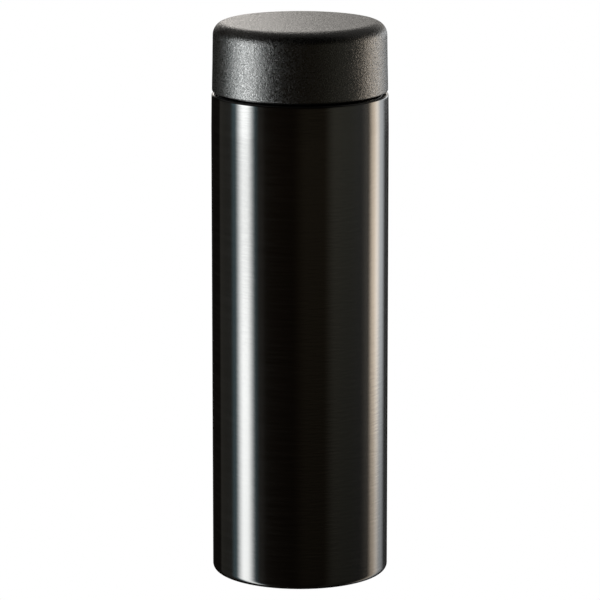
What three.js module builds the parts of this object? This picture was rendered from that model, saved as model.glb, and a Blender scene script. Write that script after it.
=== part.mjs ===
// A slim vacuum flask with a two-start screw cap and a screw-off mouthpiece.
// Millimetres, +Z up. The origin is the centre of the foot, on the surface the flask stands on,
// and +Z is the axis of every turned piece. Each piece is one closed solid in its own named mesh.

import * as THREE from "three";

// ---------------------------------------------------------------- driving dimensions

const BODY_R = 33.0; // outer radius of the body
const BODY_TOP_R = 32.85; // the tube draws in slightly below the shoulder
const BODY_TOP_Z = 182.2; // flat shoulder under the cap
const BODY_WALL = 0.5;
const FOOT_CORNER = 3.0; // radius of the body's bottom corner
const FOOT_INNER_R = 28.0; // the foot is a ring turned in to this radius
const CAP_GAP = 1.0; // open gap between shoulder and cap
const CAP_R = 32.5; // cap, above its slightly flared rim
const CAP_RIM_R = 32.7;
const CAP_TOP_R = 32.25; // the cap draws in a little towards its top
const CAP_TOP_Z = 209.0;
const CAP_WALL = 1.5;
const CAP_TOP_WALL = 1.5;
const CAP_CORNER = 5.0; // top edge radius of the cap

const NECK_R = 24.7; // root radius of the body's neck thread
const NECK_TOP_Z = 193.3;
const NECK_WALL = 0.5;
const INNER_R = 30.0; // outside of the inner vessel
const INNER_WALL = 0.4;
const MOUTH_R = 23.0; // inside of the inner vessel's neck
const LIP_R = 24.7; // the inner vessel's lip, flared over the neck's end
const INNER_SHOULDER_Z = 172.5;

const SPOUT_BORE_R = 22.6; // mouthpiece, drinking opening
const SPOUT_TOP_Z = 204.1;
const FLANGE_R = 30.6; // mouthpiece flange, its edge shows in the gap
const CORE_R = 27.6; // root radius of the mouthpiece's outer thread

const PLUG_R = 21.2; // stopper cup
const PLUG_BOTTOM_Z = 192.5;
const PLUG_BORE_R = 18.3;
const GASKET_GROOVE_R = 19.7;

const THREAD_CLEARANCE = 0.4; // radial, the same all over both helices
const FIT = 0.3; // gap between neighbouring fixed pieces

// Body thread: one start. Cap thread: two starts, so that three turns lift the cap clear.
const NECK_THREAD = { starts: 1, pitch: 5, depth: 0.9 };
const CAP_THREAD = { starts: 2, pitch: 4, depth: 1.1 };

const FINE = 64; // facets round the outer pieces
const MEDIUM = 40; // threaded pieces
const COARSE = 32; // hidden pieces
const SMALL = 20; // small hidden pieces

// ---------------------------------------------------------------- profiles

const pt = (r, z, fillet = 0) => ({ r, z, fillet });

// Rows of points up or down a wall, which the helix function then moves in or out.
function rows(r, from, to, count, thread) {
  return Array.from({ length: count + 1 }, (_, i) => ({
    r,
    z: from + ((to - from) * i) / count,
    fillet: 0,
    thread,
  }));
}

// Replaces each corner that states a fillet by an arc tangent to both of its sides.
function rounded(corners, closed) {
  const out = [];
  const n = corners.length;
  corners.forEach((c, i) => {
    const inside = closed || (i > 0 && i < n - 1);
    if (!c.fillet || !inside) {
      out.push(c);
      return;
    }
    const p = new THREE.Vector2(c.r, c.z);
    const a = corners[(i - 1 + n) % n],
      b = corners[(i + 1) % n];
    const u = new THREE.Vector2(a.r, a.z).sub(p),
      v = new THREE.Vector2(b.r, b.z).sub(p);
    const lu = u.length(),
      lv = v.length();
    u.normalize();
    v.normalize();
    const half = Math.acos(THREE.MathUtils.clamp(u.dot(v), -1, 1)) / 2;
    const reach = Math.min(c.fillet / Math.tan(half), 0.98 * lu, 0.98 * lv);
    const radius = reach * Math.tan(half);
    const centre = u
      .clone()
      .add(v)
      .normalize()
      .multiplyScalar(radius / Math.sin(half))
      .add(p);
    const start = p.clone().addScaledVector(u, reach).sub(centre);
    const end = p.clone().addScaledVector(v, reach).sub(centre);
    let sweep = Math.atan2(
      start.x * end.y - start.y * end.x,
      start.x * end.x + start.y * end.y,
    );
    const steps = Math.max(
      1,
      Math.ceil(
        (Math.abs(sweep) / (Math.PI / 2)) *
          (radius > 2.5 ? 5 : radius > 0.7 ? 2 : 1),
      ),
    );
    for (let k = 0; k <= steps; k++) {
      const q = start
        .clone()
        .rotateAround(new THREE.Vector2(0, 0), (sweep * k) / steps)
        .add(centre);
      out.push({ r: q.x, z: q.y });
    }
  });
  return out;
}

const smooth = (t) => THREE.MathUtils.smoothstep(t, 0, 1);

// How far a thread's surface moves from its root at one point. An outer thread stands out from its
// root radius, an inner one stands in from it. Both run out smoothly at the ends of their zone.
function helix(thread, theta, z) {
  const { starts, pitch, depth } = thread.form;
  const turn = z / pitch - (starts * theta) / (2 * Math.PI);
  const wave = Math.cos(2 * Math.PI * turn);
  const window =
    smooth((z - thread.from) / thread.fade) *
    smooth((thread.to - z) / thread.fade);
  return thread.inner
    ? -depth * window * (0.5 - 0.5 * wave)
    : depth * window * (0.5 + 0.5 * wave);
}

// ---------------------------------------------------------------- turned pieces

const flask = new THREE.Group();
flask.name = "vacuum_flask";

// One turned piece. The profile runs anticlockwise in the (radius, height) plane, so its faces
// point out; it starts and ends on the axis, or closes on itself.
function turned(name, material, segments, corners, { onAxis = false } = {}) {
  const points = rounded(corners, !onAxis);
  if (!onAxis) points.push(points[0]);
  const geometry = new THREE.LatheGeometry(
    points.map((p) => new THREE.Vector2(p.r, p.z)),
    segments,
  );
  const position = geometry.getAttribute("position");
  for (let i = 0; i < position.count; i++) {
    const { thread } = points[i % points.length];
    if (!thread) continue;
    const x = position.getX(i),
      z = position.getZ(i);
    const r = Math.hypot(x, z);
    const moved =
      (r + helix(thread, Math.atan2(-z, x), position.getY(i))) / r;
    position.setX(i, x * moved);
    position.setZ(i, z * moved);
  }
  geometry.rotateX(Math.PI / 2); // the lathe turns about Y, the flask stands along Z
  geometry.computeVertexNormals();
  const mesh = new THREE.Mesh(geometry, material);
  mesh.name = name;
  flask.add(mesh);
  return mesh;
}

const finish = (color, roughness, metalness, more = {}) =>
  new THREE.MeshStandardMaterial({ color, roughness, metalness, ...more });

// ---------------------------------------------------------------- body

// Drawn outer tube with the turned-in foot, the flat shoulder and the threaded neck.
const neckMale = {
  form: NECK_THREAD,
  from: 183.8,
  to: 192.4,
  fade: 1.5,
};
turned("outer_shell", finish(0x0b0b0c, 0.18, 0.3), FINE, [
  pt(FOOT_INNER_R, 0),
  pt(BODY_R, 0, FOOT_CORNER),
  pt(BODY_R, 169.5),
  pt(BODY_TOP_R, BODY_TOP_Z, 0.8),
  pt(NECK_R, BODY_TOP_Z, 0.6),
  ...rows(NECK_R, 183.7, 192.5, 9, neckMale),
  pt(NECK_R, NECK_TOP_Z),
  pt(NECK_R - NECK_WALL, NECK_TOP_Z),
  pt(NECK_R - NECK_WALL, BODY_TOP_Z - BODY_WALL, 0.6),
  pt(BODY_TOP_R - BODY_WALL, BODY_TOP_Z - BODY_WALL, 0.5),
  pt(BODY_R - BODY_WALL, 169.5),
  pt(BODY_R - BODY_WALL, BODY_WALL, FOOT_CORNER - BODY_WALL),
  pt(FOOT_INNER_R, BODY_WALL),
]);

// Dished plate on the foot ring, with the evacuation port in its middle.
const PORT_R = 1.5;
turned("outer_bottom", finish(0xb9b7b2, 0.4, 0.9), COARSE, [
  pt(PORT_R, 3.0),
  pt(26.4, 3.0),
  pt(29.0, 0.8),
  pt(30.8, 0.8),
  pt(30.8, 1.4),
  pt(29.3, 1.4),
  pt(26.7, 3.6),
  pt(PORT_R, 3.6),
]);

turned(
  "port_seal",
  finish(0x9fb0a8, 0.1, 0),
  SMALL,
  [
    pt(0, 2.2),
    pt(2.4, 2.2, 0.3),
    pt(2.4, 2.7),
    pt(PORT_R - 0.4, 2.7),
    pt(PORT_R - 0.4, 3.9),
    pt(0, 3.9),
  ],
  { onAxis: true },
);

turned("cover_adhesive", finish(0xd8d6cf, 0.9, 0), COARSE, [
  pt(10, 1.5),
  pt(24, 1.5),
  pt(24, 2.7),
  pt(10, 2.7),
]);

turned(
  "base_cover",
  finish(0x2a2a2b, 0.6, 0),
  COARSE,
  [
    pt(0, 0.4),
    pt(FOOT_INNER_R - 0.4, 0.4, 0.25),
    pt(FOOT_INNER_R - 0.4, 1.2),
    pt(0, 1.2),
  ],
  { onAxis: true },
);

// ---------------------------------------------------------------- inner vessel and vacuum parts

turned("inner_vessel", finish(0xc6c4bf, 0.35, 0.9), MEDIUM, [
  pt(INNER_R, 12.3),
  pt(INNER_R, INNER_SHOULDER_Z, 3.0),
  pt(MOUTH_R + INNER_WALL, 180.0, 2.0),
  pt(MOUTH_R + INNER_WALL, 193.6, 0.2),
  pt(LIP_R, 193.6),
  pt(LIP_R, 194.1),
  pt(MOUTH_R, 194.1, 0.4),
  pt(MOUTH_R, 179.7, 2.2),
  pt(INNER_R - INNER_WALL, INNER_SHOULDER_Z - 0.2, 2.8),
  pt(INNER_R - INNER_WALL, 12.3),
]);

turned(
  "inner_bottom",
  finish(0xc6c4bf, 0.35, 0.9),
  MEDIUM,
  [
    pt(0, 8.6),
    pt(INNER_R, 8.0, 4.0),
    pt(INNER_R, 12.0),
    pt(INNER_R - INNER_WALL, 12.0),
    pt(INNER_R - INNER_WALL, 8.4, 3.6),
    pt(0, 9.0),
  ],
  { onAxis: true },
);

turned("foil_wrap", finish(0xb4704a, 0.3, 1), COARSE, [
  pt(30.6, 14),
  pt(30.8, 14),
  pt(30.8, 169.5),
  pt(30.6, 169.5),
]);

turned("foil_disc", finish(0xb4704a, 0.3, 1), COARSE, [
  pt(9, 7.3),
  pt(26.5, 7.3),
  pt(26.5, 7.5),
  pt(9, 7.5),
]);

turned("getter_clip", finish(0xa9a7a2, 0.4, 0.9), SMALL, [
  pt(3.6, 4.3),
  pt(5.8, 4.3),
  pt(5.8, 7.2),
  pt(8.0, 7.2),
  pt(8.0, 7.6),
  pt(5.4, 7.6),
  pt(5.4, 4.7),
  pt(3.6, 4.7),
]);

turned(
  "getter",
  finish(0x56585a, 0.7, 0.6),
  SMALL,
  [pt(0, 5.0), pt(5.0, 5.0), pt(5.0, 7.0), pt(0, 7.0)],
  { onAxis: true },
);

// ---------------------------------------------------------------- mouthpiece

// Its flange stands on the shoulder, its inner thread on the neck and its outer thread takes the cap.
const mouthMale = {
  form: CAP_THREAD,
  from: 185.8,
  to: 196.4,
  fade: 1.5,
};
const mouthFemale = {
  form: NECK_THREAD,
  from: 183.2,
  to: 193.5,
  fade: 1.0,
  inner: true,
};
const MOUTH_THREAD_ROOT =
  NECK_R + NECK_THREAD.depth + THREAD_CLEARANCE; // 26.0
turned("mouthpiece", finish(0x141415, 0.45, 0), MEDIUM, [
  pt(MOUTH_THREAD_ROOT, BODY_TOP_Z + FIT),
  pt(FLANGE_R, BODY_TOP_Z + FIT, 0.3),
  pt(FLANGE_R, 184.4, 0.4),
  pt(CORE_R, 184.4, 0.3),
  ...rows(CORE_R, 185.7, 196.5, 14, mouthMale),
  pt(CORE_R, 197.4, 0.6),
  pt(25.1, 199.1, 0.8),
  pt(25.0, SPOUT_TOP_Z, 1.1),
  pt(SPOUT_BORE_R, SPOUT_TOP_Z, 1.1),
  pt(SPOUT_BORE_R, 196.4),
  pt(MOUTH_THREAD_ROOT, 196.4),
  ...rows(MOUTH_THREAD_ROOT, 193.6, 183.1, 11, mouthFemale),
]);

turned("mouthpiece_gasket", finish(0xd9d8d4, 0.55, 0), COARSE, [
  pt(22.8, 194.4, 0.4),
  pt(25.7, 194.4, 0.4),
  pt(25.7, 196.1, 0.4),
  pt(22.8, 196.1, 0.4),
]);

// ---------------------------------------------------------------- cap

const capBottomZ = BODY_TOP_Z + CAP_GAP;
const capCeilingZ = CAP_TOP_Z - CAP_TOP_WALL;
const capInnerR = CAP_R - CAP_WALL;
turned(
  "cap_shell",
  finish(0x3a3836, 0.6, 0),
  FINE,
  [
    pt(0, capCeilingZ),
    pt(capInnerR, capCeilingZ, 3.4),
    pt(capInnerR, capBottomZ),
    pt(CAP_RIM_R, capBottomZ, 0.5),
    pt(CAP_RIM_R - 0.05, capBottomZ + 4),
    pt(CAP_R, capBottomZ + 10),
    pt(CAP_TOP_R, CAP_TOP_Z, CAP_CORNER),
    pt(0, CAP_TOP_Z),
  ],
  { onAxis: true },
);

const capFemale = {
  form: CAP_THREAD,
  from: 185.4,
  to: 197.5,
  fade: 1.0,
  inner: true,
};
const CAP_THREAD_ROOT = CORE_R + CAP_THREAD.depth + THREAD_CLEARANCE; // 29.1
turned("cap_thread_sleeve", finish(0x171718, 0.5, 0), MEDIUM, [
  pt(CAP_THREAD_ROOT, 184.9),
  pt(capInnerR - 0.5, 184.9),
  pt(capInnerR - 0.5, 204.7),
  pt(CAP_THREAD_ROOT, 204.7),
  ...rows(CAP_THREAD_ROOT, 197.7, 185.3, 15, capFemale),
]);

turned(
  "cap_plug",
  finish(0x171718, 0.45, 0),
  COARSE,
  [
    pt(0, PLUG_BOTTOM_Z),
    pt(PLUG_R, PLUG_BOTTOM_Z, 1.5),
    pt(PLUG_R, 197.8),
    pt(GASKET_GROOVE_R, 197.8),
    pt(GASKET_GROOVE_R, 201.2),
    pt(PLUG_R, 201.2),
    pt(PLUG_R, 205.0, 0.8),
    pt(29.2, 205.0),
    pt(29.2, 206.8),
    pt(PLUG_BORE_R, 206.8),
    pt(PLUG_BORE_R, PLUG_BOTTOM_Z + 1.5, 1.0),
    pt(0, PLUG_BOTTOM_Z + 1.5),
  ],
  { onAxis: true },
);

turned(
  "cap_foam",
  finish(0xe8e6df, 0.95, 0),
  COARSE,
  [
    pt(0, PLUG_BOTTOM_Z + 1.8),
    pt(PLUG_BORE_R - FIT, PLUG_BOTTOM_Z + 1.8, 1.3),
    pt(PLUG_BORE_R - FIT, 206.5),
    pt(0, 206.5),
  ],
  { onAxis: true },
);

turned("cap_gasket", finish(0xd9d8d4, 0.55, 0), COARSE, [
  pt(GASKET_GROOVE_R + FIT, 198.1),
  pt(21.6, 198.1, 0.3),
  pt(22.3, 199.1),
  pt(22.3, 199.9),
  pt(21.6, 200.9, 0.3),
  pt(GASKET_GROOVE_R + FIT, 200.9),
]);

export default flask;
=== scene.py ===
import math

import bpy
import numpy as np
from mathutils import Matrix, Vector


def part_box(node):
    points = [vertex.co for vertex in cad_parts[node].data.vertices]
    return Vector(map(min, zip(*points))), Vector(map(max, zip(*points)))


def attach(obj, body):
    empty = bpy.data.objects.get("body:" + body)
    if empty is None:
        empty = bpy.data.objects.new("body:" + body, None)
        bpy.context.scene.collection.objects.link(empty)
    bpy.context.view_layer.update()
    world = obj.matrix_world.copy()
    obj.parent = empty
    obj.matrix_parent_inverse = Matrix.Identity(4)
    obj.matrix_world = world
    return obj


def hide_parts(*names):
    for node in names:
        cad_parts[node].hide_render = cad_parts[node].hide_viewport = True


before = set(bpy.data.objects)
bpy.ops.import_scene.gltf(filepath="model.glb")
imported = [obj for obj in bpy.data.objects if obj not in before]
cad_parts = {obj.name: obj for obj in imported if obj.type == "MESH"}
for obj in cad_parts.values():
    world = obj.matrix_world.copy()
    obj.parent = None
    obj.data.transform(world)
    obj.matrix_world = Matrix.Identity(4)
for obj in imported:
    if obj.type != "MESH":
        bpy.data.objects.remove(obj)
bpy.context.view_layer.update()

MM = 0.001

# =====================================================================================
# Turned pieces. A profile is a list of corners in the (radius, height) plane, in mm, run
# anticlockwise, so that faces point out. It starts and ends on the axis or closes on itself.
# =====================================================================================


def P(r, z, f=0.0):
    return {"r": r, "z": z, "f": f}


def rows(r, z0, z1, n, thread):
    """Rows of points along a wall, which the helix moves in or out."""
    return [
        {"r": r, "z": z0 + (z1 - z0) * i / n, "f": 0.0, "t": thread}
        for i in range(n + 1)
    ]


def rounded(corners, closed, fine=1.0):
    """Each corner with a radius becomes an arc, with a holding point just before and after it."""
    out, n = [], len(corners)
    for i, c in enumerate(corners):
        if not c["f"] or not (closed or 0 < i < n - 1):
            out.append(c)
            continue
        p = np.array([c["r"], c["z"]])
        a = corners[(i - 1) % n]
        b = corners[(i + 1) % n]
        u = np.array([a["r"], a["z"]]) - p
        v = np.array([b["r"], b["z"]]) - p
        lu, lv = np.linalg.norm(u), np.linalg.norm(v)
        u, v = u / lu, v / lv
        half = math.acos(max(-1.0, min(1.0, float(u @ v)))) / 2
        reach = min(c["f"] / math.tan(half), 0.45 * lu if a["f"] else 0.9 * lu, 0.45 * lv if b["f"] else 0.9 * lv)
        radius = reach * math.tan(half)
        w = (u + v) / np.linalg.norm(u + v)
        centre = p + w * radius / math.sin(half)
        s, e = p + u * reach - centre, p + v * reach - centre
        sweep = math.atan2(s[0] * e[1] - s[1] * e[0], float(s @ e))
        quarter = 16 if radius > 2.5 else 10 if radius > 0.7 else 6
        steps = max(2, math.ceil(abs(sweep) / (math.pi / 2) * quarter * fine))
        hold_u, hold_v = min(0.3, 0.3 * (lu - reach)), min(0.3, 0.3 * (lv - reach))
        if hold_u > 0.02:
            q = p + u * (reach + hold_u)
            out.append({"r": q[0], "z": q[1], "f": 0.0})
        for k in range(steps + 1):
            t = sweep * k / steps
            q = centre + np.array([s[0] * math.cos(t) - s[1] * math.sin(t), s[0] * math.sin(t) + s[1] * math.cos(t)])
            out.append({"r": q[0], "z": q[1], "f": 0.0})
        if hold_v > 0.02:
            q = p + v * (reach + hold_v)
            out.append({"r": q[0], "z": q[1], "f": 0.0})
    return out


def smoothstep(t):
    t = np.clip(t, 0.0, 1.0)
    return t * t * (3 - 2 * t)


def helix(thread, theta, z):
    """How far a thread's surface stands from its root. The crest and the root are flattened a little."""
    turn = z / thread["pitch"] - thread["starts"] * theta / (2 * math.pi)
    wave = smoothstep(0.5 + 0.72 * np.cos(2 * math.pi * turn))
    window = smoothstep((z - thread["from"]) / thread["fade"]) * smoothstep((thread["to"] - z) / thread["fade"])
    if thread.get("inner"):
        return -thread["depth"] * window * (1 - wave)
    return thread["depth"] * window * wave


def turned(name, corners, n, on_axis=False, mats=(), mat_of=None, warp=None, fine=1.0, sharp=30.0):
    """A turned piece as one closed mesh of quads, smooth except at its sharp rings."""
    pts = rounded(corners, not on_axis, fine)
    m = len(pts)
    theta = np.arange(n) * 2 * math.pi / n
    verts, ring, ring_of = [], [], []
    for j, p in enumerate(pts):
        if p["r"] < 1e-9:
            ring.append([len(verts)] * n)
            verts.append((0.0, 0.0, p["z"]))
            ring_of.append(j)
            continue
        r = np.full(n, p["r"], float)
        z = np.full(n, p["z"], float)
        if p.get("t"):
            r = r + helix(p["t"], theta, z)
        if warp:
            r, z = warp(r, z, theta)
        start = len(verts)
        verts += list(zip(r * np.cos(theta), r * np.sin(theta), z))
        ring.append(list(range(start, start + n)))
        ring_of += [j] * n
    faces, slot = [], []
    spans = list(zip(range(m - 1), range(1, m))) + ([] if on_axis else [(m - 1, 0)])
    for j, k in spans:
        rc, zc = (pts[j]["r"] + pts[k]["r"]) / 2, (pts[j]["z"] + pts[k]["z"]) / 2
        d = (pts[k]["r"] - pts[j]["r"], pts[k]["z"] - pts[j]["z"])
        length = math.hypot(*d) or 1.0
        index = mat_of(rc, zc, d[1] / length, -d[0] / length) if mat_of else 0
        for i in range(n):
            a, b = ring[j][i], ring[j][(i + 1) % n]
            c, e = ring[k][(i + 1) % n], ring[k][i]
            face = [a, b, c, e]
            if a == b:
                face = [a, c, e]
            elif c == e:
                face = [a, b, c]
            faces.append(face)
            slot.append(index)
    mesh = bpy.data.meshes.new(name)
    mesh.from_pydata([(x * MM, y * MM, z * MM) for x, y, z in verts], [], faces)
    mesh.update()
    mesh.polygons.foreach_set("use_smooth", [True] * len(faces))
    mesh.polygons.foreach_set("material_index", slot)
    for material in mats:
        mesh.materials.append(material)
    # rings where the profile turns sharply keep a crisp edge
    crisp = set()
    for j, p in enumerate(pts):
        if p.get("t") or (on_axis and j in (0, m - 1)):
            continue
        a, b = pts[(j - 1) % m], pts[(j + 1) % m]
        d1 = np.array([p["r"] - a["r"], p["z"] - a["z"]])
        d2 = np.array([b["r"] - p["r"], b["z"] - p["z"]])
        l1, l2 = np.linalg.norm(d1), np.linalg.norm(d2)
        if l1 < 1e-9 or l2 < 1e-9:
            continue
        if math.degrees(math.acos(max(-1, min(1, float(d1 @ d2) / (l1 * l2))))) > sharp:
            crisp.add(j)
    edges = np.zeros(len(mesh.edges) * 2, int)
    mesh.edges.foreach_get("vertices", edges)
    edges = edges.reshape(-1, 2)
    of = np.array(ring_of)
    same = (of[edges[:, 0]] == of[edges[:, 1]]) & np.isin(of[edges[:, 0]], list(crisp) or [-1])
    mesh.attributes.new("sharp_edge", "BOOLEAN", "EDGE").data.foreach_set("value", same)
    mesh.validate()
    obj = bpy.data.objects.new(name, mesh)
    bpy.context.scene.collection.objects.link(obj)
    return obj


def place(obj, body, slot, *nodes):
    """The piece rides on its body and stands for its CAD node, whose size it must keep."""
    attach(obj, body)
    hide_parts(*nodes)
    co = np.array([v.co for v in obj.data.vertices])
    lo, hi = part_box(nodes[0])
    off = max(np.abs(co.min(0) - np.array(lo)).max(), np.abs(co.max(0) - np.array(hi)).max())
    if off > 0.0004:
        raise SystemExit(f"{obj.name} is {off * 1000:.2f} mm off its CAD node")
    return obj


# =====================================================================================
# Materials
# =====================================================================================


class Nodes:
    """A short way to write a node tree."""

    def __init__(self, name):
        self.material = bpy.data.materials.new(name)
        self.material.use_nodes = True
        self.tree = self.material.node_tree
        self.tree.nodes.clear()
        self.out = self.tree.nodes.new("ShaderNodeOutputMaterial")
        self.bsdf = self.tree.nodes.new("ShaderNodeBsdfPrincipled")
        self.link(self.bsdf.outputs["BSDF"], self.out.inputs["Surface"])
        self.coord = self.tree.nodes.new("ShaderNodeTexCoord").outputs["Object"]

    def link(self, a, b):
        self.tree.links.new(a, b)

    def set(self, **values):
        for key, value in values.items():
            socket = self.bsdf.inputs[key.replace("_", " ")]
            if isinstance(value, bpy.types.NodeSocket):
                self.link(value, socket)
            elif isinstance(value, (tuple, list)):
                socket.default_value = (*value, 1.0) if len(value) == 3 and len(socket.default_value) == 4 else value
            else:
                socket.default_value = value

    def math(self, op, a, b=None, c=None, clamp=False):
        n = self.tree.nodes.new("ShaderNodeMath")
        n.operation = op
        n.use_clamp = clamp
        for i, v in enumerate((a, b, c)):
            if v is None:
                continue
            if isinstance(v, bpy.types.NodeSocket):
                self.link(v, n.inputs[i])
            else:
                n.inputs[i].default_value = v
        return n.outputs[0]

    def scaled(self, vector, scale):
        n = self.tree.nodes.new("ShaderNodeMapping")
        n.inputs["Scale"].default_value = scale
        self.link(vector, n.inputs["Vector"])
        return n.outputs[0]

    def noise(self, vector, scale=1.0, detail=2.0, rough=0.5, distortion=0.0):
        n = self.tree.nodes.new("ShaderNodeTexNoise")
        n.inputs["Scale"].default_value = scale
        n.inputs["Detail"].default_value = detail
        n.inputs["Roughness"].default_value = rough
        n.inputs["Distortion"].default_value = distortion
        self.link(vector, n.inputs["Vector"])
        return n.outputs[0]

    def voronoi(self, vector, scale=1.0, feature="F1", output="Distance", smooth=None):
        n = self.tree.nodes.new("ShaderNodeTexVoronoi")
        n.feature = feature
        n.inputs["Scale"].default_value = scale
        if smooth is not None and "Smoothness" in n.inputs:
            n.inputs["Smoothness"].default_value = smooth
        self.link(vector, n.inputs["Vector"])
        return n.outputs[output]

    def ramp(self, value, *stops):
        n = self.tree.nodes.new("ShaderNodeValToRGB")
        e = n.color_ramp.elements
        while len(e) > 1:
            e.remove(e[-1])
        e[0].position, e[0].color = stops[0][0], (*stops[0][1], 1.0)
        for pos, col in stops[1:]:
            k = e.new(pos)
            k.color = (*col, 1.0)
        self.link(value, n.inputs[0])
        return n.outputs[0]

    def span(self, value, lo, hi, a=0.0, b=1.0):
        """value from a..b, stretched to lo..hi."""
        n = self.tree.nodes.new("ShaderNodeMapRange")
        for i, v in zip((1, 2, 3, 4), (a, b, lo, hi)):
            n.inputs[i].default_value = v
        self.link(value, n.inputs[0])
        return n.outputs[0]

    def bump(self, height, strength, distance, after=None):
        n = self.tree.nodes.new("ShaderNodeBump")
        n.inputs["Strength"].default_value = strength
        n.inputs["Distance"].default_value = distance
        self.link(height, n.inputs["Height"])
        if after is not None:
            self.link(after, n.inputs["Normal"])
        return n.outputs[0]

    def turning(self, low, high):
        """Object coordinates in which a noise becomes fine lines round the axis: along the height on a wall, along the radius on a disc."""
        sep = self.tree.nodes.new("ShaderNodeSeparateXYZ")
        self.link(self.coord, sep.inputs[0])
        x, y, z = sep.outputs
        r = self.math("SQRT", self.math("ADD", self.math("MULTIPLY", x, x), self.math("MULTIPLY", y, y)))
        w = self.math("MULTIPLY", self.math("ADD", z, self.math("MULTIPLY", r, 0.83)), high)
        comb = self.tree.nodes.new("ShaderNodeCombineXYZ")
        self.link(self.math("MULTIPLY", x, low), comb.inputs[0])
        self.link(self.math("MULTIPLY", y, low), comb.inputs[1])
        self.link(w, comb.inputs[2])
        return comb.outputs[0]


def black_coat():
    """Gloss black lacquer over steel brushed round the axis: a sharp clear coat over dark hairlines."""
    n = Nodes("gloss_black_coat")
    wide = n.noise(n.turning(30, 700), detail=3, rough=0.6)
    hair = n.noise(n.turning(70, 2600), detail=3, rough=0.65)
    cloud = n.noise(n.coord, 14, detail=2)
    lines = n.math("ADD", n.math("MULTIPLY", wide, 0.5), n.math("MULTIPLY", hair, 0.5))
    tone = n.math("ADD", lines, n.math("MULTIPLY", cloud, 0.12))
    colour = n.ramp(tone, (0.36, (0.0008, 0.0006, 0.0004)), (0.56, (0.0014, 0.0010, 0.0007)), (0.76, (0.0026, 0.0021, 0.0016)))
    streaks = n.noise(n.scaled(n.coord, (170, 170, 1500)), detail=2)
    n.set(
        Base_Color=colour,
        Roughness=n.span(lines, 0.26, 0.40, 0.35, 0.65),
        Specular_IOR_Level=0.03,
        Normal=n.bump(lines, 0.6, 0.00006),
        Coat_Weight=1.0,
        Coat_Roughness=0.03,
        Coat_IOR=1.5,
        Coat_Normal=n.bump(streaks, 1.0, 0.000019, after=n.bump(lines, 0.10, 0.000012)),
    )
    return n.material


def sand_coat():
    """Charcoal moulded cap with an even sand-blasted grain."""
    n = Nodes("sand_charcoal")
    grain = n.noise(n.coord, 2700, detail=1, rough=0.5)
    speck = n.math(
        "ADD",
        n.math("MULTIPLY", n.noise(n.coord, 3100, detail=0), 0.6),
        n.math("MULTIPLY", n.noise(n.coord, 1600, detail=0), 0.4),
    )
    cells = n.voronoi(n.coord, 2300, "SMOOTH_F1", smooth=0.5)
    cloud = n.noise(n.coord, 60, detail=3)
    swell = n.noise(n.coord, 1050, detail=0)
    height = n.math("ADD", n.math("ADD", grain, n.math("MULTIPLY", cells, 0.35)), n.math("MULTIPLY", swell, 0.40))
    colour = n.ramp(
        n.math("ADD", n.math("MULTIPLY", grain, 0.85), n.math("MULTIPLY", cloud, 0.15)),
        (0.36, (0.0006, 0.0005, 0.0003)),
        (0.52, (0.0020, 0.0015, 0.0010)),
        (0.68, (0.0070, 0.0058, 0.0042)),
    )
    n.set(
        Base_Color=colour,
        Roughness=n.span(speck, 0.18, 0.42, 0.34, 0.66),
        Specular_IOR_Level=0.72,
        Normal=n.bump(height, 1.0, 0.00012),
    )
    return n.material


def moulded(name, base, rough, grain=900, depth=0.00003, level=0.5):
    """Smooth moulded plastic: a very fine mould texture and slight flow variation."""
    n = Nodes(name)
    fine = n.noise(n.coord, grain, detail=3, rough=0.6)
    flow = n.noise(n.coord, 45, detail=3)
    tone = n.math("ADD", n.math("MULTIPLY", fine, 0.5), n.math("MULTIPLY", flow, 0.5))
    n.set(
        Base_Color=n.ramp(
            tone,
            (0.35, tuple(c * 0.75 for c in base)),
            (0.5, base),
            (0.65, tuple(min(1, c * 1.35) for c in base)),
        ),
        Roughness=n.span(tone, rough - 0.06, rough + 0.07, 0.35, 0.65),
        Specular_IOR_Level=level,
        Normal=n.bump(fine, 0.35, depth),
    )
    return n.material


def spun_steel(name, rough=0.27, low=45, high=2600, tint=(0.60, 0.585, 0.56)):
    """Bare stainless steel with fine lines round the axis."""
    n = Nodes(name)
    lines = n.noise(n.turning(low, high), detail=4, rough=0.68)
    bands = n.noise(n.turning(20, 420), detail=2)
    stain = n.noise(n.coord, 30, detail=4, rough=0.6)
    tone = n.math("ADD", n.math("ADD", n.math("MULTIPLY", lines, 0.45), n.math("MULTIPLY", bands, 0.3)), n.math("MULTIPLY", stain, 0.25))
    n.set(
        Base_Color=n.ramp(
            tone,
            (0.36, tuple(c * 0.86 for c in tint)),
            (0.5, tint),
            (0.66, tuple(min(1, c * 1.12) for c in tint)),
        ),
        Metallic=1.0,
        Roughness=n.span(tone, rough - 0.07, rough + 0.09, 0.35, 0.65),
        Normal=n.bump(n.math("ADD", lines, n.math("MULTIPLY", bands, 0.4)), 0.4, 0.00004),
    )
    return n.material


def silicone():
    n = Nodes("milky_silicone")
    fine = n.noise(n.coord, 700, detail=3)
    cloud = n.noise(n.coord, 90, detail=2)
    n.set(
        Base_Color=n.ramp(cloud, (0.35, (0.60, 0.60, 0.575)), (0.65, (0.68, 0.68, 0.66))),
        Roughness=n.span(fine, 0.38, 0.52, 0.3, 0.7),
        Subsurface_Weight=0.35,
        Subsurface_Radius=(1.0, 0.9, 0.8),
        Subsurface_Scale=0.0012,
        Normal=n.bump(fine, 0.25, 0.00003),
    )
    return n.material


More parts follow.
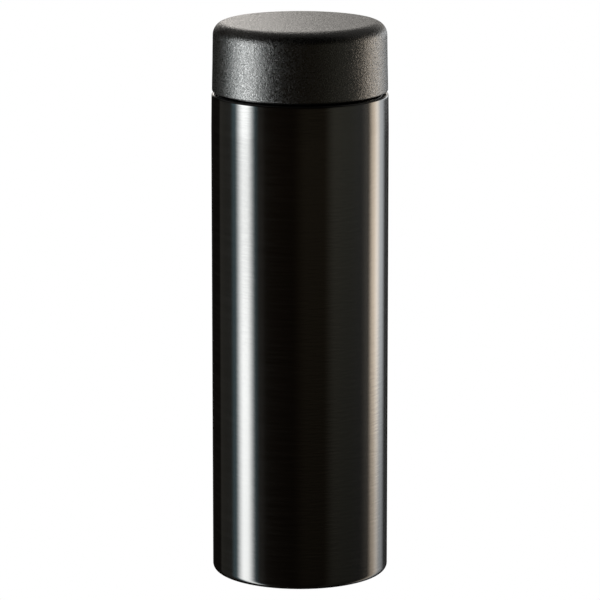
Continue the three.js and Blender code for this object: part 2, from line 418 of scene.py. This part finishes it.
def bead_foam():
    n = Nodes("bead_foam")
    cell = n.voronoi(n.coord, 420, "F1")
    edge = n.voronoi(n.coord, 420, "DISTANCE_TO_EDGE")
    fine = n.noise(n.coord, 1600, detail=2)
    n.set(
        Base_Color=n.ramp(edge, (0.0, (0.66, 0.65, 0.61)), (0.09, (0.84, 0.83, 0.80)), (0.4, (0.90, 0.89, 0.87))),
        Roughness=n.span(fine, 0.8, 0.95, 0.3, 0.7),
        Normal=n.bump(n.math("SUBTRACT", n.math("MULTIPLY", fine, 0.1), cell), 0.7, 0.0006),
    )
    return n.material


def copper():
    n = Nodes("copper_foil")
    crease = n.voronoi(n.scaled(n.coord, (1, 1, 0.6)), 95, "DISTANCE_TO_EDGE")
    soft = n.noise(n.coord, 120, detail=4, rough=0.6, distortion=0.4)
    stain = n.noise(n.coord, 26, detail=4, rough=0.65)
    n.set(
        Base_Color=n.ramp(stain, (0.32, (0.62, 0.27, 0.16)), (0.5, (0.80, 0.40, 0.26)), (0.68, (0.87, 0.50, 0.34))),
        Metallic=1.0,
        Roughness=n.span(soft, 0.2, 0.38, 0.3, 0.7),
        Normal=n.bump(n.math("ADD", soft, n.math("MULTIPLY", crease, 0.6)), 0.6, 0.0007),
    )
    return n.material


def sintered():
    n = Nodes("sintered_getter")
    pores = n.voronoi(n.coord, 2200, "F1")
    grain = n.noise(n.coord, 1300, detail=4, rough=0.7)
    n.set(
        Base_Color=n.ramp(grain, (0.3, (0.06, 0.06, 0.065)), (0.7, (0.17, 0.17, 0.175))),
        Metallic=0.6,
        Roughness=n.span(grain, 0.6, 0.85, 0.3, 0.7),
        Normal=n.bump(n.math("ADD", grain, pores), 0.8, 0.0002),
    )
    return n.material


def solder_glass():
    n = Nodes("solder_glass")
    swirl = n.noise(n.coord, 700, detail=3, distortion=1.2)
    n.set(
        Base_Color=n.ramp(swirl, (0.35, (0.10, 0.13, 0.11)), (0.65, (0.22, 0.27, 0.23))),
        Roughness=n.span(swirl, 0.06, 0.14, 0.3, 0.7),
        Coat_Weight=0.6,
        Coat_Roughness=0.03,
        Normal=n.bump(swirl, 0.3, 0.00008),
    )
    return n.material


def tape_foam():
    n = Nodes("adhesive_foam")
    pores = n.voronoi(n.coord, 2600, "F1")
    cloud = n.noise(n.coord, 80, detail=3)
    n.set(
        Base_Color=n.ramp(cloud, (0.3, (0.58, 0.56, 0.50)), (0.7, (0.70, 0.68, 0.62))),
        Roughness=n.span(pores, 0.82, 0.95),
        Normal=n.bump(pores, 0.6, 0.0002),
    )
    return n.material


COAT = black_coat()
SAND = sand_coat()
CAP_INSIDE = moulded("cap_inside_plastic", (0.016, 0.0155, 0.015), 0.42)
INNER_CAP = moulded("inner_cap_plastic", (0.0135, 0.0135, 0.0140), 0.33)
MOUTH = moulded("mouthpiece_plastic", (0.0070, 0.0070, 0.0072), 0.30)
BASE = moulded("base_plastic", (0.022, 0.022, 0.023), 0.50, grain=1300, depth=0.0001)
STEEL_IN = spun_steel("inner_vessel_steel", 0.26)
STEEL_NECK = spun_steel("neck_steel", 0.24, high=3400)
STEEL_RAW = spun_steel("raw_steel", 0.36, low=70, high=1800, tint=(0.52, 0.51, 0.49))
SILICONE = silicone()
FOAM = bead_foam()
COPPER = copper()
GETTER = sintered()
GLASS = solder_glass()
TAPE = tape_foam()

# =====================================================================================
# Pieces, with the dimensions of the CAD
# =====================================================================================

NECK_T = {"starts": 1, "pitch": 5.0, "depth": 0.9}
CAP_T = {"starts": 2, "pitch": 4.0, "depth": 1.1}
OUT, MID, IN = 256, 192, 128

# ---- body

neck_male = {**NECK_T, "from": 183.8, "to": 192.4, "fade": 1.5}


def shell_slot(r, z, nr, nz):
    if r < 27.2 and z > 100:
        return 1  # bare neck
    if z > 100 and nz > 0.5 and r < 31.5:
        return 1 if r < 29.5 else 0
    inside = (z > 0.3 and r < 32.56 and nr < 0.2 and not (z > 182.1)) and not (z <= 2.0 and nz < -0.1)
    return 2 if inside else 0


body = turned(
    "outer_shell_visual",
    [
        P(28.0, 0, 0.12),
        P(33.0, 0, 3.0),
        P(33.0, 169.5, 60),
        P(32.85, 182.2, 0.8),
        P(29.5, 182.2),
        P(24.7, 182.2, 0.6),
        *rows(24.7, 183.7, 192.5, 36, neck_male),
        P(24.7, 193.3, 0.12),
        P(24.2, 193.3, 0.12),
        P(24.2, 181.7, 0.6),
        P(32.35, 181.7, 0.5),
        P(32.5, 169.5),
        P(32.5, 0.5, 2.5),
        P(28.0, 0.5, 0.12),
    ],
    OUT,
    mats=(COAT, STEEL_NECK, STEEL_RAW),
    mat_of=shell_slot,
)
place(body, "bottle", "body_coat", "outer_shell")

plate = turned(
    "outer_bottom_visual",
    [
        P(1.5, 3.0, 0.2),
        P(8.0, 3.0),
        P(26.4, 3.0, 1.0),
        P(29.0, 0.8, 0.8),
        P(30.8, 0.8, 0.15),
        P(30.8, 1.4, 0.15),
        P(29.3, 1.4, 0.8),
        P(26.7, 3.6, 1.0),
        P(1.5, 3.6, 0.2),
    ],
    MID,
    mats=(STEEL_RAW,),
)
place(plate, "bottle", "steel", "outer_bottom")

seal = turned(
    "port_seal_visual",
    [P(0, 2.2), P(1.4, 2.26, 0.9), P(2.4, 2.45, 0.25), P(2.3, 2.7, 0.12), P(1.1, 2.7, 0.1), P(1.1, 3.9, 0.3), P(0, 3.9)],
    96,
    on_axis=True,
    mats=(GLASS,),
)
place(seal, "bottle", "seal_glass", "port_seal")

tape = turned(
    "cover_adhesive_visual",
    [P(10, 1.5, 0.15), P(24, 1.5, 0.15), P(24, 2.7, 0.15), P(10, 2.7, 0.15)],
    MID,
    mats=(TAPE,),
    warp=lambda r, z, t: (r + 0.06 * np.sin(9 * t + z) * np.sin(23 * t), z),
)
place(tape, "bottle", "adhesive_foam", "cover_adhesive")


# the base disc, with a shallow dished middle and two turned rings
def groove(r, depth=0.22, width=0.5):
    return [P(r - width, 0.4, 0.15), P(r - width / 2, 0.4 + depth, 0.15), P(r + width / 2, 0.4 + depth, 0.15), P(r + width, 0.4, 0.15)]


disc = turned(
    "base_cover_visual",
    [
        P(0, 0.62),
        P(11.0, 0.62, 1.5),
        P(12.0, 0.4, 0.4),
        *groove(21.5),
        *groove(25.6),
        P(27.6, 0.4, 0.25),
        P(27.6, 1.2, 0.12),
        P(0, 1.2),
    ],
    OUT,
    on_axis=True,
    mats=(BASE,),
)
place(disc, "bottle", "base_plastic", "base_cover")

# ---- inner vessel and the vacuum parts

vessel = turned(
    "inner_vessel_visual",
    [
        P(30.0, 12.3, 0.1),
        P(30.0, 172.5, 3.0),
        P(23.4, 180.0, 2.0),
        P(23.4, 193.6, 0.3),
        P(24.7, 193.6, 0.12),
        P(24.7, 194.1, 0.2),
        P(23.0, 194.1, 0.4),
        P(23.0, 179.7, 2.2),
        P(29.6, 172.3, 2.8),
        P(29.6, 12.3, 0.1),
    ],
    OUT,
    mats=(STEEL_IN,),
)
place(vessel, "bottle", "steel", "inner_vessel")

floor_dish = turned(
    "inner_bottom_visual",
    [
        P(0, 8.6),
        P(6.0, 8.56),
        P(30.0, 8.0, 4.0),
        P(30.0, 12.0, 0.1),
        P(29.6, 12.0, 0.1),
        P(29.6, 8.4, 3.6),
        P(6.0, 8.96),
        P(0, 9.0),
    ],
    OUT,
    on_axis=True,
    mats=(STEEL_IN,),
)
place(floor_dish, "bottle", "steel", "inner_bottom")


def crinkle(r, z, t):
    k = 0.055 * (np.sin(7 * t + 0.35 * z) * np.sin(0.19 * z + 3 * t) + 0.5 * np.sin(19 * t - 0.23 * z) + 0.35 * np.sin(31 * t + 0.61 * z))
    return r + k * (np.abs(z - 89.5) < 75), z


foil = turned(
    "foil_wrap_visual",
    [
        *[P(30.6, 169.5 - (169.5 - 14) * i / 60) for i in range(60)],
        P(30.6, 14),
        *[P(30.8, 14 + (169.5 - 14) * i / 60) for i in range(60)],
        P(30.8, 169.5),
    ],
    MID,
    mats=(COPPER,),
    warp=crinkle,
)
place(foil, "bottle", "copper_foil", "foil_wrap")

foil_ring = turned(
    "foil_disc_visual",
    [
        *[P(9 + 17.5 * i / 24, 7.3) for i in range(25)],
        *[P(26.5 - 17.5 * i / 24, 7.5) for i in range(25)],
    ],
    MID,
    mats=(COPPER,),
    warp=lambda r, z, t: (r, z + 0.05 * np.sin(0.9 * r + 5 * t) * np.sin(11 * t + 0.4 * r) * (r > 9.5) * (r < 26) - 0.0),
)
place(foil_ring, "bottle", "copper_foil", "foil_disc")

clip = turned(
    "getter_clip_visual",
    [
        P(3.6, 4.3, 0.1),
        P(5.8, 4.3, 0.35),
        P(5.8, 7.2, 0.2),
        P(8.0, 7.2, 0.1),
        P(8.0, 7.6, 0.1),
        P(5.4, 7.6, 0.35),
        P(5.4, 4.7, 0.15),
        P(3.6, 4.7, 0.1),
    ],
    96,
    mats=(STEEL_RAW,),
)
place(clip, "bottle", "steel", "getter_clip")

pellet = turned(
    "getter_visual",
    [P(0, 5.25), P(2.6, 5.25, 0.3), P(3.1, 5.0, 0.2), P(5.0, 5.0, 0.3), P(5.0, 7.0, 0.3), P(0, 7.0)],
    96,
    on_axis=True,
    mats=(GETTER,),
)
place(pellet, "bottle", "getter_metal", "getter")

# ---- mouthpiece

mouth_male = {**CAP_T, "from": 185.8, "to": 196.4, "fade": 1.5}
mouth_female = {**NECK_T, "from": 183.2, "to": 193.5, "fade": 1.0, "inner": True}
mouthpiece = turned(
    "mouthpiece_visual",
    [
        P(26.0, 182.5, 0.2),
        P(30.6, 182.5, 0.3),
        P(30.6, 184.4, 0.4),
        P(27.6, 184.4, 0.4),
        *rows(27.6, 185.7, 196.5, 40, mouth_male),
        P(27.6, 197.4, 0.6),
        P(25.1, 199.1, 1.2),
        P(25.0, 204.1, 1.15),
        P(22.6, 204.1, 1.15),
        P(22.6, 196.4, 0.2),
        P(26.0, 196.4, 0.15),
        *rows(26.0, 193.6, 183.1, 36, mouth_female),
    ],
    OUT,
    mats=(MOUTH,),
)
place(mouthpiece, "mouthpiece_body", "mouthpiece_plastic", "mouthpiece")

ring = turned(
    "mouthpiece_gasket_visual",
    [P(22.8, 194.4, 0.45), P(25.7, 194.4, 0.45), P(25.7, 196.1, 0.45), P(22.8, 196.1, 0.45)],
    MID,
    mats=(SILICONE,),
)
place(ring, "mouthpiece_seal", "silicone", "mouthpiece_gasket")

# ---- cap


def cap_slot(r, z, nr, nz):
    outside = r > 31.6 or (z > 208.4) or (nz > 0.3 and z > 204.5)
    return 0 if outside else 1


cap = turned(
    "cap_shell_visual",
    [
        P(0, 207.5),
        P(31.0, 207.5, 3.4),
        P(31.0, 183.2, 0.3),
        P(32.7, 183.2, 0.5),
        P(32.65, 187.2, 20),
        P(32.5, 193.2, 20),
        P(32.25, 209.0, 5.0),
        P(0, 209.0),
    ],
    OUT,
    on_axis=True,
    mats=(SAND, CAP_INSIDE),
    mat_of=cap_slot,
)
place(cap, "cap", "cap_plastic", "cap_shell")

cap_female = {**CAP_T, "from": 185.4, "to": 197.5, "fade": 1.0, "inner": True}
sleeve = turned(
    "cap_thread_sleeve_visual",
    [
        P(29.1, 184.9, 0.25),
        P(30.5, 184.9, 0.25),
        P(30.5, 204.7, 0.25),
        P(29.1, 204.7, 0.25),
        *rows(29.1, 197.7, 185.3, 44, cap_female),
    ],
    OUT,
    mats=(INNER_CAP,),
)
place(sleeve, "cap", "inner_cap_plastic", "cap_thread_sleeve")

plug = turned(
    "cap_plug_visual",
    [
        P(0, 193.1),
        P(1.6, 193.1, 0.3),
        P(2.1, 193.2, 0.2),
        P(2.6, 193.1, 0.3),
        P(15.6, 193.0, 0.6),
        P(16.6, 192.5, 0.5),
        P(21.2, 192.5, 1.5),
        P(21.2, 197.8, 0.15),
        P(19.7, 197.8, 0.15),
        P(19.7, 201.2, 0.15),
        P(21.2, 201.2, 0.15),
        P(21.2, 205.0, 0.8),
        P(29.2, 205.0, 0.3),
        P(29.2, 206.8, 0.3),
        P(18.3, 206.8, 0.3),
        P(18.3, 194.0, 1.0),
        P(0, 194.0),
    ],
    OUT,
    on_axis=True,
    mats=(INNER_CAP,),
)
place(plug, "cap", "inner_cap_plastic", "cap_plug")

foam = turned(
    "cap_foam_visual",
    [P(0, 194.3), P(18.0, 194.3, 1.3), P(18.0, 206.5, 0.4), P(0, 206.5)],
    MID,
    on_axis=True,
    mats=(FOAM,),
)
place(foam, "cap", "insulating_foam", "cap_foam")

gasket = turned(
    "cap_gasket_visual",
    [
        P(20.0, 198.1, 0.3),
        P(21.5, 198.1, 0.35),
        P(22.3, 199.2, 0.25),
        P(22.3, 199.8, 0.25),
        P(21.5, 200.9, 0.35),
        P(20.0, 200.9, 0.3),
    ],
    MID,
    mats=(SILICONE,),
)
place(gasket, "cap_seal", "silicone", "cap_gasket")

# =====================================================================================
# Stage, light and camera
# =====================================================================================

floor_mesh = bpy.data.meshes.new("floor")
S = 8.0
floor_mesh.from_pydata([(-S, -S, -0.0003), (S, -S, -0.0003), (S, S, -0.0003), (-S, S, -0.0003)], [], [(0, 1, 2, 3)])
floor = bpy.data.objects.new("floor", floor_mesh)
bpy.context.scene.collection.objects.link(floor)
fm = bpy.data.materials.new("pale_floor")
fm.use_nodes = True
ft = fm.node_tree
ft.nodes.clear()
f_out = ft.nodes.new("ShaderNodeOutputMaterial")
f_glow = ft.nodes.new("ShaderNodeEmission")
f_glow.inputs["Color"].default_value = (1, 1, 1, 1)
f_glow.inputs["Strength"].default_value = 1.0
f_clear = ft.nodes.new("ShaderNodeBsdfTransparent")
f_side = ft.nodes.new("ShaderNodeNewGeometry")
f_mix = ft.nodes.new("ShaderNodeMixShader")
ft.links.new(f_side.outputs["Backfacing"], f_mix.inputs[0])
ft.links.new(f_glow.outputs[0], f_mix.inputs[1])
ft.links.new(f_clear.outputs[0], f_mix.inputs[2])
ft.links.new(f_mix.outputs[0], f_out.inputs["Surface"])
floor_mesh.materials.append(fm)
floor.visible_glossy = False
floor.visible_diffuse = False
floor.visible_shadow = False

# The studio is drawn in the world, as cards of light round the flask. A card reaches from one azimuth to another, in
# degrees from the front, positive to the right, with soft edges, and has a colour, a strength and a list of its
# strength by elevation. The studio is dark above, and its paper backdrop stands behind the flask.
LOW, TOP = -90.0, 90.0
CARDS = [
    # key strip on the left, with a cool fringe
    ((-94.3, -78), (-74.3, -59.3), (1.0, 1.0, 0.985), 19.2,
     [(-62, 0.0), (-48, 0.5), (-20, 0.85), (-14.2, 0.92), (-12.4, 1.04), (-10.6, 0.80), (-9.0, 0.95), (-6, 1.22), (3, 1.22), (13, 0.0)]),
    ((-104, -94), (-62, -54), (0.42, 0.80, 0.95), 0.70, [(-62, 0.0), (-40, 1.0), (-9, 1.0), (-6, 1.8), (3, 1.8), (10, 0.0)]),
    ((-131, -126), (-52, -44), (1.0, 0.98, 0.85), 0.12, [(-62, 0.3), (-16, 0.7), (-9, 1.0), (0, 1.0), (8, 0.0)]),
    # strip on the right, warm inside and cool outside
    ((98.8, 111.8), (115, 131), (1.0, 0.84, 0.66), 6.6,
     [(-62, 0.0), (-40, 0.25), (-16, 0.36), (-14.2, 0.48), (-13.0, 0.80), (-11.5, 1.0), (-9.0, 0.82), (-6, 0.88), (3, 0.88), (8, 0.55), (18, 0.0)]),
    ((110, 123), (127.5, 147.5), (0.93, 0.97, 1.0), 2.95,
     [(-62, 0.0), (-40, 0.25), (-16, 0.42), (-14.2, 0.55), (-13.0, 0.85), (-11.5, 1.0), (-9.0, 0.9), (2, 0.9), (8, 0.6), (18, 0.0)]),
    # its dim far end, mostly above the flask's rim
    ((130, 142), (154, 168), (0.93, 0.97, 1.0), 2.4, [(-62, 0.0), (-16, 0.012), (-9, 0.016), (-4, 0.7), (0, 1.0), (3, 0.6), (8, 0.0)]),
    # its soft inner edge
    ((84, 100), (104, 112), (1.0, 0.90, 0.75), 0.5, [(-62, 0.0), (-16, 0.36), (-13.0, 0.80), (-9.0, 0.9), (2, 0.9), (8, 0.0)]),
    # dim grey wall to the right, and less of it in front
    ((30, 48), (58, 100), (1.0, 0.98, 0.80), 0.46, [(-62, 0.2), (-16, 0.34), (-11.5, 0.70), (-9, 1.0), (-6, 0.75), (6, 0.7), (14, 0.0)]),
    ((62, 88), (96, 104), (0.95, 0.98, 1.0), 0.22, [(-62, 0.1), (-16, 0.28), (-11.5, 0.72), (-9, 1.0), (6, 1.0), (14, 0.0)]),
    ((-12, 10), (34, 50), (1.0, 0.86, 0.60), 0.12, [(-62, 0.1), (-16, 0.35), (-11.5, 0.8), (-9, 1.0), (-6, 0.4), (6, 0.3), (14, 0.0)]),
    # warm darkness in front
    ((-60, -50), (50, 60), (1.0, 0.62, 0.28), 0.045, [(-62, 0.3), (-16, 0.4), (-9, 1.0), (-6, 0.4), (6, 0.3), (14, 0.0)]),
]
BACKDROP = ((1.0, 0.955, 0.90), 0.9, [(-12, 0.012), (-5, 0.02), (0.5, 0.5), (3, 0.95), (9, 1.0), (15, 0.6), (20, 0.08), (50, 0.02), (75, 0.0)])
CEILING = ((1.0, 0.97, 0.92), 0.22, [(18, 0.0), (34, 1.0), (90, 1.0)])

world = bpy.data.worlds.new("studio")
bpy.context.scene.world = world
world.use_nodes = True
wt = world.node_tree
wt.nodes.clear()


def wput(value, socket):
    if isinstance(value, bpy.types.NodeSocket):
        wt.links.new(value, socket)
    else:
        socket.default_value = value


def wmath(op, a, b=None, c=None):
    node = wt.nodes.new("ShaderNodeMath")
    node.operation = op
    for i, v in enumerate((a, b, c)):
        if v is not None:
            wput(v, node.inputs[i])
    return node.outputs[0]


def wspan(value, a, b):
    node = wt.nodes.new("ShaderNodeMapRange")
    node.interpolation_type = "SMOOTHSTEP"
    for i, v in zip((1, 2, 3, 4), (a, b, 0.0, 1.0)):
        node.inputs[i].default_value = v
    wt.links.new(value, node.inputs[0])
    return node.outputs[0]


def by_height(stops):
    node = wt.nodes.new("ShaderNodeValToRGB")
    e = node.color_ramp.elements
    while len(e) > 1:
        e.remove(e[-1])
    peak = max(v for _, v in stops)
    for i, (el, v) in enumerate(stops):
        k = e[0] if i == 0 else e.new((el + 90) / 180)
        k.position = (el + 90) / 180
        k.color = (v / peak, v / peak, v / peak, 1.0)
    wt.links.new(height01, node.inputs[0])
    return wmath("MULTIPLY", node.outputs[0], peak)


def tinted(factor, colour, strength):
    node = wt.nodes.new("ShaderNodeVectorMath")
    node.operation = "SCALE"
    node.inputs[0].default_value = tuple(c * strength for c in colour)
    wt.links.new(factor, node.inputs["Scale"])
    return node.outputs[0]


def wadd(a, b):
    node = wt.nodes.new("ShaderNodeVectorMath")
    node.operation = "ADD"
    wt.links.new(a, node.inputs[0])
    wt.links.new(b, node.inputs[1])
    return node.outputs[0]


direction = wt.nodes.new("ShaderNodeTexCoord").outputs["Generated"]
wsep = wt.nodes.new("ShaderNodeSeparateXYZ")
wt.links.new(direction, wsep.inputs[0])
wx, wy, wz = wsep.outputs
azimuth = wmath("MULTIPLY", wmath("ARCTAN2", wx, wmath("MULTIPLY", wy, -1.0)), 180 / math.pi)
elevation = wmath("MULTIPLY", wmath("ARCSINE", wz), 180 / math.pi)
height01 = wmath("MULTIPLY_ADD", elevation, 1 / 180, 0.5)
total = tinted(by_height([(-90, 1.0), (90, 1.0)]), (1.0, 0.95, 0.9), 0.006)
for (a0, a1), (b0, b1), colour, strength, stops in CARDS:
    wide = wmath("SUBTRACT", wspan(azimuth, a0, a1), wspan(azimuth, b0, b1))
    total = wadd(total, tinted(wmath("MULTIPLY", wide, by_height(stops)), colour, strength))
behind = wmath("ADD", wspan(azimuth, 140, 158), wspan(wmath("MULTIPLY", azimuth, -1.0), 154, 170))
total = wadd(total, tinted(wmath("MULTIPLY", behind, by_height(BACKDROP[2])), BACKDROP[0], BACKDROP[1]))
above = wmath("MULTIPLY", wspan(wy, -0.45, 0.15), by_height(CEILING[2]))
total = wadd(total, tinted(above, CEILING[0], CEILING[1]))
studio = wt.nodes.new("ShaderNodeBackground")
wt.links.new(total, studio.inputs["Color"])
studio.inputs["Strength"].default_value = 1.0
paper = wt.nodes.new("ShaderNodeBackground")
paper.inputs["Color"].default_value = (1, 1, 1, 1)
paper.inputs["Strength"].default_value = 1.0
pick = wt.nodes.new("ShaderNodeMixShader")
wt.links.new(wt.nodes.new("ShaderNodeLightPath").outputs["Is Camera Ray"], pick.inputs[0])
wt.links.new(studio.outputs[0], pick.inputs[1])
wt.links.new(paper.outputs[0], pick.inputs[2])
wt.links.new(pick.outputs[0], wt.nodes.new("ShaderNodeOutputWorld").inputs["Surface"])

# Two lit panels behind on the left, above the flask, brighten the cap's flat top from that side.
for label, place_at, size, watts in (
    ("rear_panel", (-0.068, 0.45, 0.363), (0.11, 0.22), 0.138),
    ("rear_panel_high", (-0.05, 0.45, 0.603), (0.20, 0.24), 0.36),
):
    panel_data = bpy.data.lights.new(label, "AREA")
    panel_data.shape = "RECTANGLE"
    panel_data.size, panel_data.size_y = size
    panel_data.color = (1.0, 0.955, 0.90)
    panel_data.energy = watts
    panel = bpy.data.objects.new(label, panel_data)
    bpy.context.scene.collection.objects.link(panel)
    panel.location = place_at
    panel.rotation_euler = (math.radians(-90), 0, 0)
    panel.visible_camera = False

# The camera stands well back and looks a little down on the flask.
CAM_D, CAM_H, CAM_PITCH, CAM_F = 1500.0, 417.1, 11.804, 4085.7
cam_data = bpy.data.cameras.new("camera")
cam = bpy.data.objects.new("camera", cam_data)
bpy.context.scene.collection.objects.link(cam)
cam_data.sensor_width = 36.0
cam_data.lens = CAM_F * 36.0 / 600.0
cam_data.clip_start, cam_data.clip_end = 0.01, 100.0
cam.location = (0, -CAM_D * MM, CAM_H * MM)
cam.rotation_euler = (math.radians(90 - CAM_PITCH), 0, 0)
bpy.context.scene.camera = cam

view = bpy.context.scene.view_settings
view.view_transform = "Standard"
view.look = "None"
view.exposure = 0.0
view.gamma = 1.0
